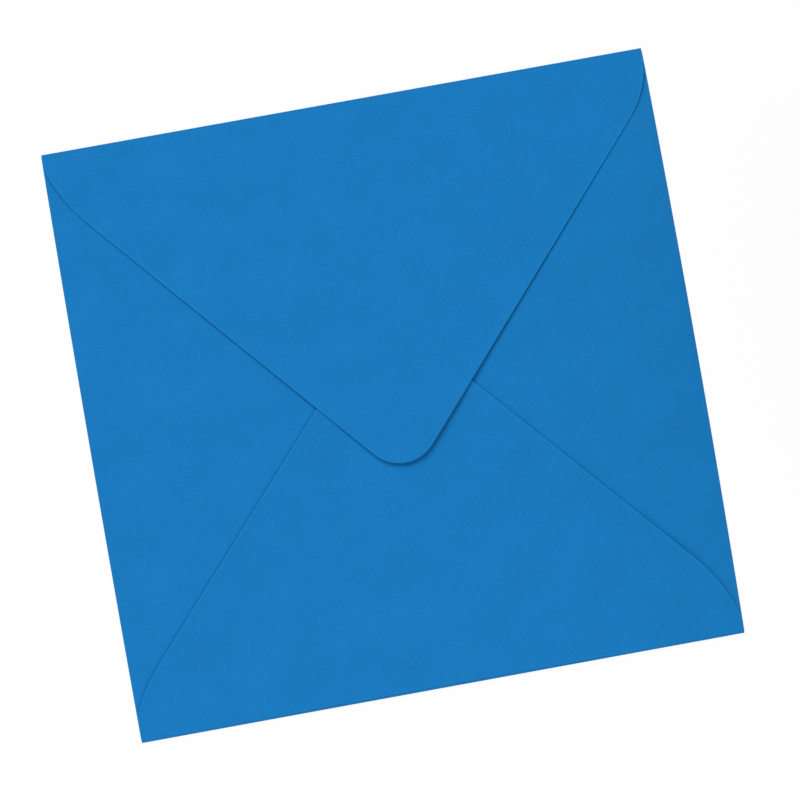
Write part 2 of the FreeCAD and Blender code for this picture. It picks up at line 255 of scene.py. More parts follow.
@dataclass(frozen=True)
class Ripple:
    """Faint crossed waves, each with its length, its turn and its start.

    The height is height sin(x / length_x + turn_x y + start_x) sin(y / length_y + turn_y x
    + start_y).
    """

    height: float
    length_x: float
    turn_x: float
    start_x: float
    length_y: float
    turn_y: float
    start_y: float

    def at(self, x: np.ndarray, y: np.ndarray) -> np.ndarray:
        """Height of the waves over each point."""
        across = np.sin(x / self.length_x + self.turn_x * y + self.start_x)
        along = np.sin(y / self.length_y + self.turn_y * x + self.start_y)
        return self.height * across * along


@dataclass(frozen=True)
class EdgeLift:
    """How far one side's cut edge of a flap stands up, in millimetres.

    Attributes:
        start: Lift near the fold.
        end: Lift at the tip.
        ear: More lift at the shoulder.
        ear_ends: Depths between which the ear fades.
    """

    start: float
    end: float
    ear: float
    ear_ends: tuple[float, float]

    def along(self, depth: np.ndarray, share: np.ndarray) -> np.ndarray:
        """Start and end blended by a share, plus the ear, which rises over 6 mm of depth.

        Args:
            depth: Depths from the envelope's outline.
            share: Share of the end value at each depth.

        Returns:
            Lifts.
        """
        ear = self.ear * ramp(depth, 1, 7) * (1 - ramp(depth, *self.ear_ends))
        return self.start + (self.end - self.start) * share + ear


@dataclass
class SheetGrid:
    """One region of the folded sheet, as a grid of points on the paper's middle surface.

    Attributes:
        place: Positions, rows by columns by 3, in millimetres.
        blank: Where each point lies on the flat blank, rows by columns by 2.
        edge: Distance from each point to the nearest cut edge.
        crease: Distance from each point to the nearest crease.
        turned: True where the grid's own order makes its faces point inwards.
    """

    place: np.ndarray
    blank: np.ndarray
    edge: np.ndarray
    crease: np.ndarray
    turned: bool


class FoldedSheet:
    """Joins the regions of the sheet into one surface and gives it the paper's thickness."""

    def __init__(self, paper: float) -> None:
        """Start an empty sheet of paper of one thickness, in millimetres."""
        self.paper = paper
        self.grids: list[SheetGrid] = []

    def add(self, grid: SheetGrid) -> None:
        """Add a region. Its border points lie on those of its neighbours."""
        self.grids.append(grid)

    def skew(self, share: float) -> None:
        """Lean the sheet out of square: x gains a share of y, and y the same share of x."""
        for grid in self.grids:
            lean = share * grid.place[..., [1, 0, 2]] * np.array([1.0, 1.0, 0.0])
            grid.place = grid.place + lean

    @staticmethod
    def grid_faces(rows: int, columns: int, first: int, turned: bool) -> np.ndarray:
        """Four-sided faces between neighbouring points of a grid.

        Args:
            rows: Rows of the grid.
            columns: Columns of the grid.
            first: Number of the grid's first point.
            turned: True to run round each face the other way.

        Returns:
            Point numbers, four for each face.
        """
        number = first + np.arange(rows * columns).reshape(rows, columns)
        corners = [number[:-1, :-1], number[:-1, 1:], number[1:, 1:], number[1:, :-1]]
        faces = np.stack(corners, axis=-1).reshape(-1, 4)
        return faces[:, ::-1] if turned else faces

    def weld(self) -> tuple[np.ndarray, np.ndarray, np.ndarray]:
        """Merge the points that neighbouring regions share.

        Points whose positions agree to a ten-thousandth of a millimetre become one.

        Returns:
            Positions, other values (blank x, blank y, edge, crease) and faces.
        """
        places, values, faces, first = [], [], [], 0
        for grid in self.grids:
            rows, columns = grid.edge.shape
            places.append(grid.place.reshape(-1, 3))
            values.append(np.dstack([grid.blank, grid.edge, grid.crease]).reshape(-1, 4))
            faces.append(self.grid_faces(rows, columns, first, grid.turned))
            first += rows * columns
        place, value, face = np.concatenate(places), np.concatenate(values), np.concatenate(faces)
        near = np.round(place, 4)
        _, kept, merged = np.unique(near, axis=0, return_index=True, return_inverse=True)
        return place[kept], value[kept], merged.reshape(-1)[face]

    @staticmethod
    def normals(place: np.ndarray, faces: np.ndarray) -> np.ndarray:
        """Unit normal at each point: the sum of the cross products of its faces' diagonals."""
        across = place[faces[:, 2]] - place[faces[:, 0]]
        along = place[faces[:, 3]] - place[faces[:, 1]]
        square = np.cross(across, along)
        total = np.zeros_like(place)
        for corner in range(4):
            np.add.at(total, faces[:, corner], square)
        return total / np.linalg.norm(total, axis=1, keepdims=True)

    @staticmethod
    def rim(faces: np.ndarray, count: int) -> np.ndarray:
        """Faces that close the sheet along its cut edges.

        An edge is cut where no neighbour runs along it the other way. The rim's face goes
        back along it on the outer side and forward on the inner side.

        Args:
            faces: Faces of the outer side.
            count: Number of points of one side.

        Returns:
            Point numbers, four for each face of the rim.
        """
        start, end = faces.reshape(-1), np.roll(faces, -1, axis=1).reshape(-1)
        cut = ~np.isin(start * count + end, end * count + start)
        start, end = start[cut], end[cut]
        return np.stack([end, start, start + count, end + count], axis=1)

    def make(self, name: str) -> bpy.types.Object:
        """Build the finished object: outer side, inner side and rim.

        Each side is the middle surface moved by half the paper's thickness along its
        normals. The map named blank holds where each point lies on the flat blank, the
        inner side beside the outer one.

        Args:
            name: Name of the object.

        Returns:
            The object, at the origin.
        """
        place, value, outer = self.weld()
        offset = self.normals(place, outer) * self.paper / 2
        count = len(place)
        rim = self.rim(outer, count)
        faces = np.concatenate([outer, outer[:, ::-1] + count, rim])
        mesh = bpy.data.meshes.new(name)
        points = np.concatenate([place + offset, place - offset]) * METRES
        mesh.from_pydata(points.tolist(), [], faces.tolist())
        smooth = np.arange(len(faces)) < len(faces) - len(rim)
        mesh.polygons.foreach_set("use_smooth", smooth)

        column = np.repeat([PaperFace.OUTER.value, PaperFace.INNER.value, PaperFace.OUTER.value],
                           [len(outer), len(outer), len(rim)])
        corner = faces.reshape(-1) % count
        flat = np.stack([0.25 + value[corner, 0] / BLANK_SPAN + np.repeat(column, 4),
                         0.5 + value[corner, 1] / BLANK_SPAN], axis=1)
        blank_map = mesh.uv_layers.new(name="blank")
        blank_map.data.foreach_set("uv", flat.reshape(-1).astype(np.float32))
        for title, index in (("cut_distance", 2), ("crease_distance", 3)):
            layer = mesh.attributes.new(title, "FLOAT", "POINT")
            layer.data.foreach_set("value", np.tile(value[:, index], 2).astype(np.float32))
        mesh.update()
        mesh.validate()
        made = bpy.data.objects.new(name, mesh)
        bpy.context.collection.objects.link(made)
        return made


@dataclass(frozen=True)
class Envelope:
    """The envelope's sizes, and the regions of its sheet, in millimetres.

    Levels are those of the paper's middle surface, and each fold is a half ring round the
    layers inside it. A run is the distance over which an effect fades to a third.

    Attributes:
        paper: Thickness of the paper.
        half_height: Half the height over the top and bottom folds.
        left_corner: Distance from the middle to the left corners.
        right_corner: The same on the right.
        left_bow: How far the left side bows out between its corners.
        right_bow: The same on the right.
        strip_inset: How far the top and bottom folds end inside the corners.
        side_ring: Radius of the side folds.
        corner_ring: Their radius at the corners, where the other folds pinch them.
        corner_run: Run of that pinch along the side.
        pinch_run: Run of that pinch across the side flap.
        bottom_ring: Radius of the bottom fold.
        top_ring: Radius of the top fold.
        tip_lift: How far the top flap's tip springs up.
        left_puff: How far the closed pocket swells on the left.
        right_puff: The same on the right.
        side_run: Run of the swelling from the side folds.
        end_run: Run of the swelling from the top and bottom folds.
        bottom_left_lift: How far the bottom flap's left edge stands up.
        bottom_right_lift: The same for its right edge.
        top_left_lift: The same for the top flap's left edge.
        top_right_lift: The same for its right edge.
        edge_lift_run: Run of these lifts from the edge.
        out_of_square: Lean of the whole sheet, as a share.
        sag: How far the bottom flap sinks between the side flaps.
        crease_offset: Distance on the sheet from the middle of a fold to where it ends.
        least_depth: Depth of the side flaps at their ends.
        columns: Points along the top and bottom flaps' edges.
        side_rows: Points along the side flaps' edges.
        flap_rows: Points from the top and bottom folds to the cut edge.
        side_columns: Points from the side folds to the cut edge.
        ring_steps: Steps round a fold.
        side_crowding: How much closer the side flaps' rows stand near their two ends.
        strip_crowding: The same for the columns of the top and bottom flaps.
        row_power: How much the rows of those flaps crowd towards the cut edge.
        top_edge: Cut edge of the top flap.
        bottom_edge: Cut edge of the bottom flap.
        side_edge: Cut edge of both side flaps.
        swells: Soft rises and dents of the whole pocket.
        ripples: Its faint waves.
        tip_swell: Rise of the top flap beside its tip.
    """

    paper: float = 0.16
    half_height: float = 75.0
    left_corner: float = 77.20
    right_corner: float = 76.90
    left_bow: float = 0.30
    right_bow: float = 0.60
    strip_inset: float = 0.12
    side_ring: float = 0.255
    corner_ring: float = 0.10
    corner_run: float = 1.2
    pinch_run: float = 2.0
    bottom_ring: float = 0.3425
    top_ring: float = 0.35
    tip_lift: float = 0.62
    left_puff: float = 0.22
    right_puff: float = 0.50
    side_run: float = 18.0
    end_run: float = 14.0
    bottom_left_lift: EdgeLift = EdgeLift(0.38, 0.38, 0.0, (22.0, 40.0))
    bottom_right_lift: EdgeLift = EdgeLift(0.52, 0.55, 0.40, (22.0, 40.0))
    top_left_lift: EdgeLift = EdgeLift(0.22, 0.27, 0.50, (8.0, 17.0))
    top_right_lift: EdgeLift = EdgeLift(0.0, 0.42, 0.50, (8.0, 17.0))
    edge_lift_run: float = 4.0
    out_of_square: float = 0.0035
    sag: float = 0.15
    crease_offset: float = 0.4
    least_depth: float = 0.25
    columns: int = 157
    side_rows: int = 85
    flap_rows: int = 57
    side_columns: int = 36
    ring_steps: int = 8
    side_crowding: float = 0.55
    strip_crowding: float = 0.25
    row_power: float = 1.3

    top_edge: PointedEdge = PointedEdge(
        apex=(0.09, 97.78), low_spread=0.8709, high_spread=0.8776, tip_radius=9.8,
        low_shoulder=Shoulder(43.7, 19.33), high_shoulder=Shoulder(23.85, 17.17))
    bottom_edge: PointedEdge = PointedEdge(
        apex=(0.30, 97.12), low_spread=0.8900, high_spread=0.8838, tip_radius=10.0,
        low_shoulder=Shoulder(42.45, 18.49), high_shoulder=Shoulder(47.92, 21.78))
    side_edge: PointedEdge = PointedEdge(
        apex=(-0.2, 70.4), low_spread=1.080, high_spread=1.080, tip_radius=8.0,
        low_shoulder=Shoulder(2.0, 2.1), high_shoulder=Shoulder(2.0, 2.1))
    swells: tuple[Swell, ...] = (
        Swell(16.0, 1.0, 7.0, 7.0, -0.05),
        Swell(-40.0, -16.0, 14.0, 10.0, 0.06),
        Swell(36.0, -3.0, 12.0, 12.0, 0.06),
        Swell(-6.0, 38.0, 30.0, 18.0, 0.07),
        Swell(56.0, -44.0, 14.0, 12.0, -0.06),
        Swell(4.0, -50.0, 26.0, 14.0, 0.06),
    )
    ripples: tuple[Ripple, ...] = (
        Ripple(0.016, 5.9, 0.07, 0.6, 7.3, -0.05, 1.1),
        Ripple(0.030, 11.3, -0.04, 2.0, 9.1, 0.06, 0.0),
    )
    tip_swell: Swell = Swell(17.0, -5.0, 12.0, 11.0, 0.34)

    @property
    def panel_top(self) -> float:
        """Where the front panel starts to bend into the top fold."""
        return self.half_height - self.paper / 2 - self.top_ring

    @property
    def panel_bottom(self) -> float:
        """Where the front panel starts to bend into the bottom fold."""
        return self.paper / 2 + self.bottom_ring - self.half_height

    def strip_end(self, side: Side) -> float:
        """Where the side edge of the top and bottom flaps' strips stands."""
        corner = self.right_corner if side is Side.RIGHT else self.left_corner
        return side.value * (corner - self.strip_inset)

    def ring(self, y: np.ndarray) -> np.ndarray:
        """Radius of the side folds, which the top and bottom folds pinch near the corners."""
        from_end = np.minimum(self.panel_top - y, y - self.panel_bottom)
        wider = self.side_ring - self.corner_ring
        return self.corner_ring + wider * rise(from_end, self.corner_run)

    def fold_line(self, side: Side, y: np.ndarray) -> np.ndarray:
        """Where the front panel starts to bend into a side fold.

        The outline there is the corner's distance plus a bow of 1 - (y / half height)^2,
        and the bend starts one ring and half a thickness inside it.

        Args:
            side: Which side.
            y: Positions along the fold.

        Returns:
            Positions across the envelope.
        """
        corner, bow = ((self.right_corner, self.right_bow) if side is Side.RIGHT
                       else (self.left_corner, self.left_bow))
        outline = corner + bow * (1 - (y / self.half_height) ** 2)
        return side.value * (outline - self.paper / 2 - self.ring(y))

    def pocket_rise(self, x: np.ndarray, y: np.ndarray) -> np.ndarray:
        """How far the closed pocket has swollen, the same for every layer over it.

        It rises from each of the four folds as one minus exp(-distance / run), more on
        the right than on the left. The swells and ripples of handling come on top, and
        fade within 10 mm of the folds.

        Args:
            x: Positions across the envelope.
            y: Positions along it.

        Returns:
            Heights.
        """
        low = self.fold_line(Side.LEFT, y)
        high = self.fold_line(Side.RIGHT, y)
        across = rise(x - low, self.side_run) * rise(high - x, self.side_run)
        along = rise(self.half_height - y, self.end_run) * rise(self.half_height + y, self.end_run)
        puff = self.left_puff + (self.right_puff - self.left_puff) * ramp(x, -20, 40)
        inside = ramp(x - low, 0, 10) * ramp(high - x, 0, 10)
        inside = inside * ramp(self.panel_top - y, 0, 10) * ramp(y - self.panel_bottom, 0, 10)
        handled = sum(form.at(x, y) for form in self.swells + self.ripples)
        return across * along * puff + inside * handled

    def side_cut(self) -> np.ndarray:
        """The side flaps' cut edge, as (position along the fold, depth)."""
        return self.side_edge.outline(self.panel_bottom, self.panel_top,
                                      self.side_rows, self.side_crowding)

    def strip_cut(self, edge: PointedEdge) -> np.ndarray:
        """The top or bottom flap's cut edge, as (position across, depth)."""
        low, high = self.strip_end(Side.LEFT), self.strip_end(Side.RIGHT)
        return edge.outline(low, high, self.columns, self.strip_crowding)

    def front_panel(self) -> SheetGrid:
        """The address side, flat on the surface below.

        Its columns run straight between those of the top and bottom flaps, and each row
        is stretched so that its ends lie on the bowed fold lines.

        Returns:
            The panel's grid, bottom row first.
        """
        y = self.side_cut()[:, 0]
        ends = np.array([self.panel_bottom, self.panel_top])
        share = ((y - ends[0]) / (ends[1] - ends[0]))[:, None]
        bottom, top = self.strip_cut(self.bottom_edge)[:, 0], self.strip_cut(self.top_edge)[:, 0]
        straight = (1 - share) * bottom + share * top
        corner = {side: float(self.fold_line(side, ends[1:])[0]) for side in Side}
        row = np.concatenate([np.full((len(y), 1), corner[Side.LEFT]), straight,
                              np.full((len(y), 1), corner[Side.RIGHT])], axis=1)
        stretch = {side: (self.fold_line(side, y) / corner[side])[:, None] for side in Side}
        x = row * np.where(row > 0, stretch[Side.RIGHT], stretch[Side.LEFT])
        upright = np.broadcast_to(y[:, None], x.shape)
        nearest = np.minimum.reduce([x[:, -1:] - x, x - x[:, :1],
                                     self.panel_top - upright, upright - self.panel_bottom])
        crease = np.abs(nearest) + self.crease_offset
        place = np.stack([x, upright, np.full_like(x, self.paper / 2)], axis=-1)
        return SheetGrid(place, place[..., :2].copy(), np.full_like(x, FAR), crease, True)

    def side_fold(self, side: Side) -> SheetGrid:
        """Half ring along one side: line + ring sin(a) across, and ring (1 - cos(a)) up.

        Args:
            side: Which side.

        Returns:
            The fold's grid, bottom row first, from the panel round to the flap.
        """
        y = self.side_cut()[:, :1]
        angle = np.linspace(0, math.pi, self.ring_steps + 1)
        ring, line = self.ring(y), self.fold_line(side, y)
        x = line + side.value * ring * np.sin(angle)
        z = self.paper / 2 + ring * (1 - np.cos(angle))
        upright = np.broadcast_to(y, x.shape)
        blank = np.stack([line + side.value * ring * angle, upright], axis=-1)
        crease = np.abs(ring * (angle - math.pi / 2))
        edge = np.broadcast_to(np.minimum(self.panel_top - y, y - self.panel_bottom), x.shape)
        place = np.stack([x, upright, z], axis=-1)
        return SheetGrid(place, blank, edge, crease, side is Side.RIGHT)

    def side_flap(self, side: Side) -> SheetGrid:
        """One side flap, with rows straight across from its fold to its cut edge.

        Its height is the top of the fold's ring, eased within a few millimetres to the
        level of the ring at mid-height, plus the pocket's rise.

        Args:
            side: Which side.

        Returns:
            The flap's grid, bottom row first, from the fold to the cut edge.
        """
        cut = self.side_cut()
        y = cut[:, :1]
        line, ring = self.fold_line(side, y), self.ring(y)
        depth = np.maximum(cut[:, 1:], self.least_depth)
        run = depth * steps_from_fold(self.side_columns, 1.0)
        x = line - side.value * run
        upright = np.broadcast_to(y, x.shape)
        pinch = 2 * (self.side_ring - ring) * np.exp(-run / self.pinch_run)
        z = self.paper / 2 + 2 * self.side_ring - pinch + self.pocket_rise(x, upright)
        blank = np.stack([line + side.value * (math.pi * ring + run), upright], axis=-1)
        flat = np.stack([upright, run], axis=-1)
        edge = distance_to_path(flat, np.stack([y[:, 0], depth[:, 0]], axis=1))
        crease = run + self.crease_offset
        place = np.stack([x, upright, z], axis=-1)
        return SheetGrid(place, blank, edge, crease, side is Side.RIGHT)

    def strip_fold(self, edge: PointedEdge, line: float, ring: float) -> SheetGrid:
        """Half ring along the top or the bottom: ring sin(a) out, and ring (1 - cos(a)) up.

        Args:
            edge: Cut edge of the flap that the fold carries.
            line: Where the front panel starts to bend.
            ring: Radius of the ring.

        Returns:
            The fold's grid, from the panel round to the flap.
        """
        up = math.copysign(1.0, line)
        across = self.strip_cut(edge)[:, 0]
        angle = np.linspace(0, math.pi, self.ring_steps + 1)[:, None]
        x = np.broadcast_to(across, (len(angle), len(across)))
        y = np.broadcast_to(line + up * ring * np.sin(angle), x.shape)
        z = np.broadcast_to(self.paper / 2 + ring * (1 - np.cos(angle)), x.shape)
        blank = np.stack([x, np.broadcast_to(line + up * ring * angle, x.shape)], axis=-1)
        cut = np.minimum(x - across[0], across[-1] - x)
        crease = np.broadcast_to(np.abs(ring * (angle - math.pi / 2)), x.shape)
        return SheetGrid(np.stack([x, y, z], axis=-1), blank, cut, crease, up > 0)

    def strip_flap(self, edge: PointedEdge, line: float, ring: float) -> tuple[np.ndarray, ...]:
        """Plan of the top or bottom flap, with columns straight from the fold to the cut edge.

        Rows crowd towards the cut edge.

        Args:
            edge: The flap's cut edge.
            line: Where its fold ends.
            ring: Radius of its fold.

        Returns:
            Positions x and y, depth from the envelope's outline, distance to the cut
            edge, and where each point lies on the blank.
        """
        up = math.copysign(1.0, line)
        cut = self.strip_cut(edge)
        first = self.half_height - abs(line)
        share = steps_from_fold(self.flap_rows, self.row_power)[:, None]
        depth = first + share * (cut[:, 1] - first)
        x = np.broadcast_to(cut[:, 0], depth.shape)
        sides = np.array([[cut[0, 0], first], [cut[-1, 0], first]])
        path = np.concatenate([sides[:1], cut, sides[1:]])
        distance = distance_to_path(np.stack([x, depth], axis=-1), path)
        blank = np.stack([x, line + up * (math.pi * ring + depth - first)], axis=-1)
        return x, up * (self.half_height - depth), depth, distance, blank

    def bottom_flap(self) -> SheetGrid:
        """The bottom flap, glued to the side flaps and sagging a little between them.

        Its height is the fold's, plus the pocket's rise, less a smooth step of the sag
        where it runs on past the side flaps' hidden edges, plus the lift of its cut edge,
        which isn't glued right to the edge: exp(-distance / run). Where the top flap
        covers that edge, it presses it down again.

        Returns:
            The flap's grid, from the fold to the cut edge.
        """
        plan = self.strip_flap(self.bottom_edge, self.panel_bottom, self.bottom_ring)
        x, y, depth, distance, blank = plan
        hidden = self.side_cut()
        reach = np.interp(y, hidden[:, 0], hidden[:, 1])
        past_left = x - self.fold_line(Side.LEFT, y) - reach
        past_right = self.fold_line(Side.RIGHT, y) - reach - x
        sag = self.sag * ramp(np.minimum(past_left, past_right), -1.5, 4.5) * ramp(depth, 1, 13)
        z = self.paper / 2 + 2 * self.bottom_ring + self.pocket_rise(x, y) - sag
        share = depth / depth.max()
        left = self.bottom_left_lift.along(depth, share)
        right = self.bottom_right_lift.along(depth, share)
        lift = left + (right - left) * ramp(x, -50, 50)
        lift = lift * ramp(depth, 1.5, 11.5) * (1 - ramp(y, 0, 10))
        z = z + lift * np.exp(-distance / self.edge_lift_run)
        return SheetGrid(np.stack([x, y, z], axis=-1), blank, distance, depth, False)

    def top_flap(self) -> SheetGrid:
        """The top flap, closed but not stuck, so that it springs up towards its tip.

        Its height is the fold's, plus the pocket's rise, plus the tip's lift times the
        depth as a share of its reach to the power 1.5. The lift of its cut edges fades
        as exp(-distance / run), and a small swell lies beside the tip.

        Returns:
            The flap's grid, from the fold to the cut edge.
        """
        plan = self.strip_flap(self.top_edge, self.panel_top, self.top_ring)
        x, y, depth, distance, blank = plan
        reach = self.top_edge.tip_centre()[1] + self.top_edge.tip_radius
        share = (depth / reach) ** 1.5
        z = self.paper / 2 + 2 * self.top_ring + self.pocket_rise(x, y) + self.tip_lift * share
        left = self.top_left_lift.along(depth, share)
        right = self.top_right_lift.along(depth, share)
        lift = (left + (right - left) * ramp(x, -6, 12)) * ramp(depth, 1, 4)
        z = z + lift * np.exp(-distance / self.edge_lift_run) + self.tip_swell.at(x, y)
        return SheetGrid(np.stack([x, y, z], axis=-1), blank, distance, depth, True)

    def build(self) -> bpy.types.Object:
        """Fold the whole sheet and join it into one piece.

        Returns:
            The envelope's object.
        """
        sheet = FoldedSheet(self.paper)
        sheet.add(self.front_panel())
        for side in Side:
            sheet.add(self.side_fold(side))
            sheet.add(self.side_flap(side))
        sheet.add(self.strip_fold(self.bottom_edge, self.panel_bottom, self.bottom_ring))
        sheet.add(self.bottom_flap())
        sheet.add(self.strip_fold(self.top_edge, self.panel_top, self.top_ring))
        sheet.add(self.top_flap())
        sheet.skew(self.out_of_square)
        return sheet.make("folded_sheet")


class Signal:
    """A shader socket that Python's operators work on, each adding a Math node."""

    def __init__(self, graph: "Graph", socket: bpy.types.NodeSocket) -> None:
        """Wrap one socket of a graph."""
        self.graph = graph
        self.socket = socket

    def __add__(self, other: Any) -> "Signal":
        """The sum."""
        return self.graph.maths("ADD", self, other)

    def __sub__(self, other: Any) -> "Signal":
        """The difference."""
        return self.graph.maths("SUBTRACT", self, other)

    def __rsub__(self, other: Any) -> "Signal":
        """The difference, with the number first."""
        return self.graph.maths("SUBTRACT", other, self)

    def __mul__(self, other: Any) -> "Signal":
        """The product."""
        return self.graph.maths("MULTIPLY", self, other)

    __radd__ = __add__
    __rmul__ = __mul__


class Graph:
    """A node tree that is filled through one method for nodes."""

    def __init__(self, tree: bpy.types.NodeTree) -> None:
        """Empty the tree and take it over."""
        self.tree = tree
        tree.nodes.clear()

    def node(self, kind: str, settings: dict[str, Any] | None = None,
             inputs: dict[str | int, Any] | None = None) -> bpy.types.Node:
        """Add a node.

        Args:
            kind: The node's type, without its leading ShaderNode.
            settings: Its own settings, set first.
            inputs: Values, signals or sockets for its inputs, by name or number.

        Returns:
            The node.
        """
        made = self.tree.nodes.new("ShaderNode" + kind)
        for name, value in (settings or {}).items():
            setattr(made, name, value)
        for key, value in (inputs or {}).items():
            if isinstance(value, Signal):
                self.tree.links.new(value.socket, made.inputs[key])
            elif isinstance(value, bpy.types.NodeSocket):
                self.tree.links.new(value, made.inputs[key])
            else:
                made.inputs[key].default_value = value
        return made

    def signal(self, node: bpy.types.Node, output: str | int = 0) -> Signal:
        """One output of a node as a signal."""
        return Signal(self, node.outputs[output])

    def maths(self, operation: str, *values: Any) -> Signal:
        """A Math node on values or signals."""
        return self.signal(self.node("Math", {"operation": operation}, dict(enumerate(values))))

    def attribute(self, name: str) -> Signal:
        """One of the mesh's own attributes."""
        return self.signal(self.node("Attribute", {"attribute_name": name}), "Fac")

    def near(self, distance: Signal, width: float) -> Signal:
        """A mask that is 1 at no distance and falls smoothly to 0 at a width."""
        settings = {"interpolation_type": "SMOOTHSTEP"}
        inputs = {"Value": distance, "From Min": 0.0, "From Max": width,
                  "To Min": 1.0, "To Max": 0.0}
        return self.signal(self.node("MapRange", settings, inputs))

    def noise(self, where: Signal, scale: float, detail: float, roughness: float = 0.5) -> Signal:
        """Noise from -1 to 1 on a vector."""
        inputs = {"Vector": where, "Scale": scale, "Detail": detail, "Roughness": roughness}
        made = self.node("TexNoise", {"noise_dimensions": "3D"}, inputs)
        return self.signal(made, "Fac") * 2 - 1


@dataclass(frozen=True)
class DyedPaper:
    """Uncoated paper dyed right through: matt, with fine fibres and a cloudy look.

    Lengths are in millimetres on the flat blank, and pitches are per millimetre.

    Attributes:
        colour: The dyed paper's colour.
        cloud: How far the clouds lighten and darken it.
        cloud_pitch: Pitch of the wide clouds.
        patch_pitch: Pitch of the smaller patches in them.
        grain: How far the grain lightens and darkens it.
        grain_pitch: Pitch of the grain.
        fibre: How far each lay of fibres lightens and darkens it.
        fibre_pitch: Pitch along the fibres, across them and through the sheet.
        cut_tone_and_highlight: How much lighter the paper is along a cut edge: partly the
        cut fibres' own lighter tone, partly a painted highlight of the edge.
        crease_lightening: How much lighter it is along a crease.
        wear_and_highlight_width: How far from a cut or crease the lighter band reaches.
        roughness: Its roughness.
        gloss: Level of its faint mirror part.
        relief: Height of its grain.
    """

    colour: tuple[float, float, float] = (0.0088, 0.191, 0.506)
    cloud: float = 0.085
    cloud_pitch: float = 0.085
    patch_pitch: float = 0.33
    grain: float = 0.140
    grain_pitch: float = 2.3
    fibre: float = 0.085
    fibre_pitch: tuple[float, float, float] = (0.7, 3.0, 1.0)
    # Lighter along cut edges: partly the cut fibres' own tone, partly a painted highlight.
    cut_tone_and_highlight: float = 0.18
    crease_lightening: float = 0.09
    wear_and_highlight_width: float = 0.5
    roughness: float = 0.88
    gloss: float = 0.08
    relief: float = 0.004

    def fibres(self, graph: Graph, where: Signal, turn: float) -> Signal:
        """One lay of fibres: noise stretched along a turned direction.

        Args:
            graph: The material's graph.
            where: Position on the blank.
            turn: Direction of the lay, in degrees.

        Returns:
            A signal from -1 to 1.
        """
        inputs = {"Vector": where, "Angle": math.radians(turn)}
        turned = graph.signal(graph.node("VectorRotate", {"rotation_type": "Z_AXIS"}, inputs))
        inputs = {0: turned, 1: self.fibre_pitch}
        drawn = graph.node("VectorMath", {"operation": "MULTIPLY"}, inputs)
        return graph.noise(graph.signal(drawn), 1.0, 2.0)

    def make(self, name: str) -> bpy.types.Material:
        """Build the material.

        Args:
            name: Its name.

        Returns:
            The material.
        """
        material = bpy.data.materials.new(name)
        material.use_nodes = True
        graph = Graph(material.node_tree)
        flat = graph.node("UVMap", {"uv_map": "blank"})
        where = graph.signal(graph.node("VectorMath", {"operation": "SCALE"},
                                        {0: graph.signal(flat), "Scale": BLANK_SPAN}))
        to_cut = graph.attribute("cut_distance")
        to_crease = graph.attribute("crease_distance")

        clouds = graph.noise(where, self.cloud_pitch, 3.0, 0.55)
        clouds = clouds + graph.noise(where, self.patch_pitch, 2.0) * 0.4
        grain = graph.noise(where, self.grain_pitch, 2.0, 0.6)
        fibres = self.fibres(graph, where, 12) + self.fibres(graph, where, 68)
        fibres = fibres + self.fibres(graph, where, -47)
        cut = graph.near(to_cut, self.wear_and_highlight_width)
        crease = graph.near(to_crease, self.wear_and_highlight_width)

        tone = 1 + clouds * self.cloud + grain * self.grain + fibres * self.fibre
        # Lighter along cut edges, partly the cut fibres' own tone and partly a painted highlight
        # of the edge; lighter along creases, from wear.
        tone = tone + cut * self.cut_tone_and_highlight + crease * self.crease_lightening
        colour = graph.node("VectorMath", {"operation": "SCALE"}, {0: self.colour, "Scale": tone})
        height = fibres * 0.4 + grain * 0.6
        inputs = {"Strength": 1.0, "Distance": self.relief * METRES, "Height": height}
        bump = graph.node("Bump", {}, inputs)
        rough = self.roughness + grain * 0.04 + clouds * 0.02
        shader = graph.node("BsdfPrincipled", {}, {
            "Base Color": graph.signal(colour), "Roughness": rough, "Normal": graph.signal(bump),
            "Specular IOR Level": self.gloss})
        graph.node("OutputMaterial", {}, {"Surface": shader.outputs[0]})
        return material


@dataclass(frozen=True)
class Floor:
    """Pale floor that keeps the object's shadow and looks white to the camera.

    Attributes:
        half_size: Half the length of its sides, in metres.
        drop: How far it lies below the envelope, in metres.
        colour: Its grey, as a share of white.
        glow: Share of plain white in what the camera sees of it.
    """

    half_size: float = 1.6
    drop: float = 0.00002
    colour: float = 0.90
    glow: float = 0.93

    def make(self) -> bpy.types.Object:
        """Build the floor, a hair below the envelope."""
        corners = np.array([[-1, -1], [1, -1], [1, 1], [-1, 1]]) * self.half_size
        mesh = bpy.data.meshes.new("pale_floor")
        mesh.from_pydata([(x, y, -self.drop) for x, y in corners.tolist()], [], [(0, 1, 2, 3)])
        made = bpy.data.objects.new("pale_floor", mesh)
        bpy.context.collection.objects.link(made)
        material = bpy.data.materials.new("floor_paper")
        material.use_nodes = True
        graph = Graph(material.node_tree)
        matt = graph.node("BsdfDiffuse", {}, {"Color": (self.colour, self.colour, self.colour, 1)})
        white = graph.node("Emission", {}, {"Color": (1, 1, 1, 1), "Strength": 1.0})
        rays = graph.node("LightPath")
        seen = graph.signal(rays, "Is Camera Ray") + graph.signal(rays, "Is Glossy Ray")
        seen = (seen + graph.signal(rays, "Is Transmission Ray")) * self.glow
        mixed = graph.node("MixShader", {}, {0: seen, 1: matt.outputs[0], 2: white.outputs[0]})
        graph.node("OutputMaterial", {}, {"Surface": mixed.outputs[0]})
        mesh.materials.append(material)
        return made


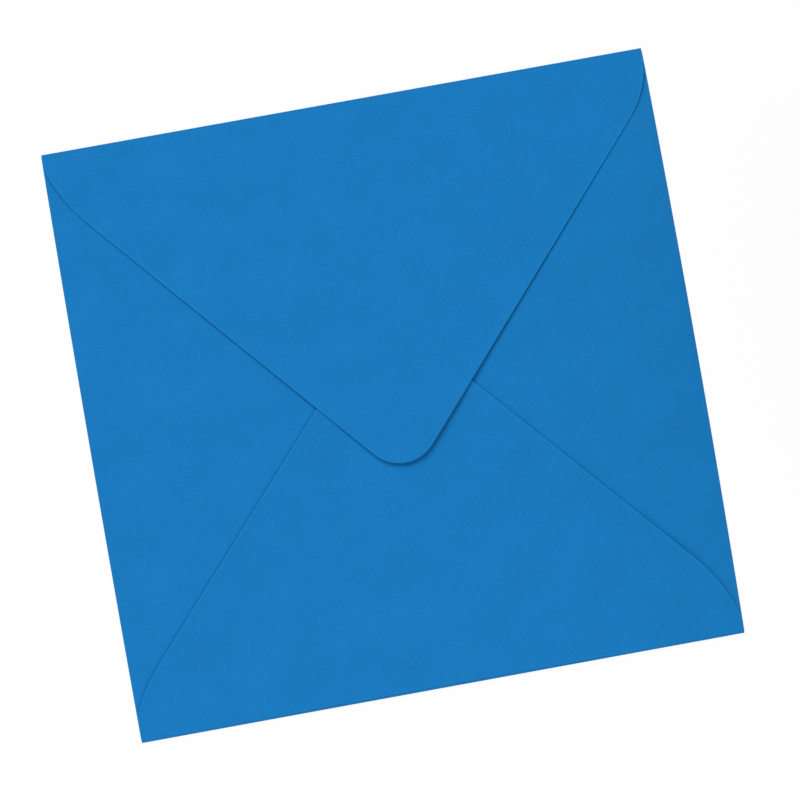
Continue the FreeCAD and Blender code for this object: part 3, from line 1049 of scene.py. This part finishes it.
@dataclass(frozen=True)
class SoftLamp:
    """Large round lamp that faces the middle of the envelope.

    Its share is the brightness that it alone gives to a white surface lying flat.
    """

    name: str
    azimuth: float
    elevation: float
    share: float
    distance: float = 2.6
    size: float = 1.7

    def make(self) -> None:
        """Add the lamp. Its power is share pi^2 (distance^2 + radius^2) / sin(elevation)."""
        turn, lift = math.radians(self.azimuth), math.radians(self.elevation)
        lamp = bpy.data.lights.new(self.name, "AREA")
        lamp.shape = "DISK"
        lamp.size = self.size
        spread = self.distance ** 2 + self.size ** 2 / 4
        lamp.energy = self.share * math.pi ** 2 * spread / math.sin(lift)
        made = bpy.data.objects.new(self.name, lamp)
        bpy.context.collection.objects.link(made)
        made.location = (self.distance * math.cos(lift) * math.cos(turn),
                         self.distance * math.cos(lift) * math.sin(turn),
                         self.distance * math.sin(lift))
        made.rotation_euler = (math.pi / 2 - lift, 0.0, turn + math.pi / 2)


@dataclass(frozen=True)
class DarkCard:
    """Low dark card beside the envelope that takes some light off its right side."""

    x: float = 0.122
    middle: float = -0.020
    length: float = 0.150
    height: float = 0.085

    def make(self) -> bpy.types.Object:
        """Build the card, upright and out of the camera's sight."""
        low, high = self.middle - self.length / 2, self.middle + self.length / 2
        mesh = bpy.data.meshes.new("dark_card")
        mesh.from_pydata([(self.x, low, 0.0), (self.x, high, 0.0), (self.x, high, self.height),
                          (self.x, low, self.height)], [], [(0, 1, 2, 3)])
        made = bpy.data.objects.new("dark_card", mesh)
        bpy.context.collection.objects.link(made)
        material = bpy.data.materials.new("card_black")
        material.use_nodes = True
        graph = Graph(material.node_tree)
        matt = graph.node("BsdfDiffuse", {}, {"Color": (0.01, 0.01, 0.01, 1)})
        graph.node("OutputMaterial", {}, {"Surface": matt.outputs[0]})
        mesh.materials.append(material)
        made.visible_camera = False
        return made


@dataclass(frozen=True)
class Studio:
    """Soft light: a pale room, a lamp beyond the top edge and a weaker, nearer one opposite."""

    room: float = 0.43
    lamps: tuple[SoftLamp, ...] = (
        SoftLamp("main_lamp", 107.0, 45.0, 0.435),
        SoftLamp("fill_lamp", -75.0, 40.0, 0.15, 0.8, 0.52),
    )

    def make(self) -> None:
        """Add the lamps and the world."""
        for lamp in self.lamps:
            lamp.make()
        world = bpy.data.worlds.new("pale_room")
        world.use_nodes = True
        bpy.context.scene.world = world
        graph = Graph(world.node_tree)
        rays = graph.node("LightPath")
        seen = graph.signal(rays, "Is Camera Ray") + graph.signal(rays, "Is Glossy Ray")
        seen = seen + graph.signal(rays, "Is Transmission Ray")
        strength = self.room + seen * (1 - self.room)
        light = graph.node("Background", {}, {"Color": (1, 1, 1, 1), "Strength": strength})
        graph.node("OutputWorld", {}, {"Surface": light.outputs[0]})


@dataclass(frozen=True)
class Camera:
    """Long lens almost straight above the envelope, turned about ten degrees."""

    place: tuple[float, float, float] = (-0.01167, -0.01832, 0.69997)
    lean: tuple[float, float, float] = (1.517, -0.818, -10.093)
    lens: float = 125.0

    def make(self) -> None:
        """Add the camera and make it the scene's."""
        data = bpy.data.cameras.new("camera")
        data.lens = self.lens
        data.sensor_width = 36.0
        made = bpy.data.objects.new("camera", data)
        bpy.context.collection.objects.link(made)
        made.location = self.place
        made.rotation_euler = [math.radians(angle) for angle in self.lean]
        bpy.context.scene.camera = made


def main() -> None:
    """Build and dress the envelope, then the floor, the light and the camera."""
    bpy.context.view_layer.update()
    sheet = Envelope().build()
    sheet.data.materials.append(DyedPaper().make("dyed_paper"))
    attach(sheet, "root")
    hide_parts("envelope")
    counts = len(sheet.data.vertices), len(sheet.data.polygons)
    log.info("%s: %d points, %d faces", sheet.name, *counts)

    Floor().make()
    DarkCard().make()
    Studio().make()
    Camera().make()
    bpy.context.scene.view_settings.view_transform = "Standard"
    log.info("floor, light and camera are in place")


if __name__ == "__main__":
    main()
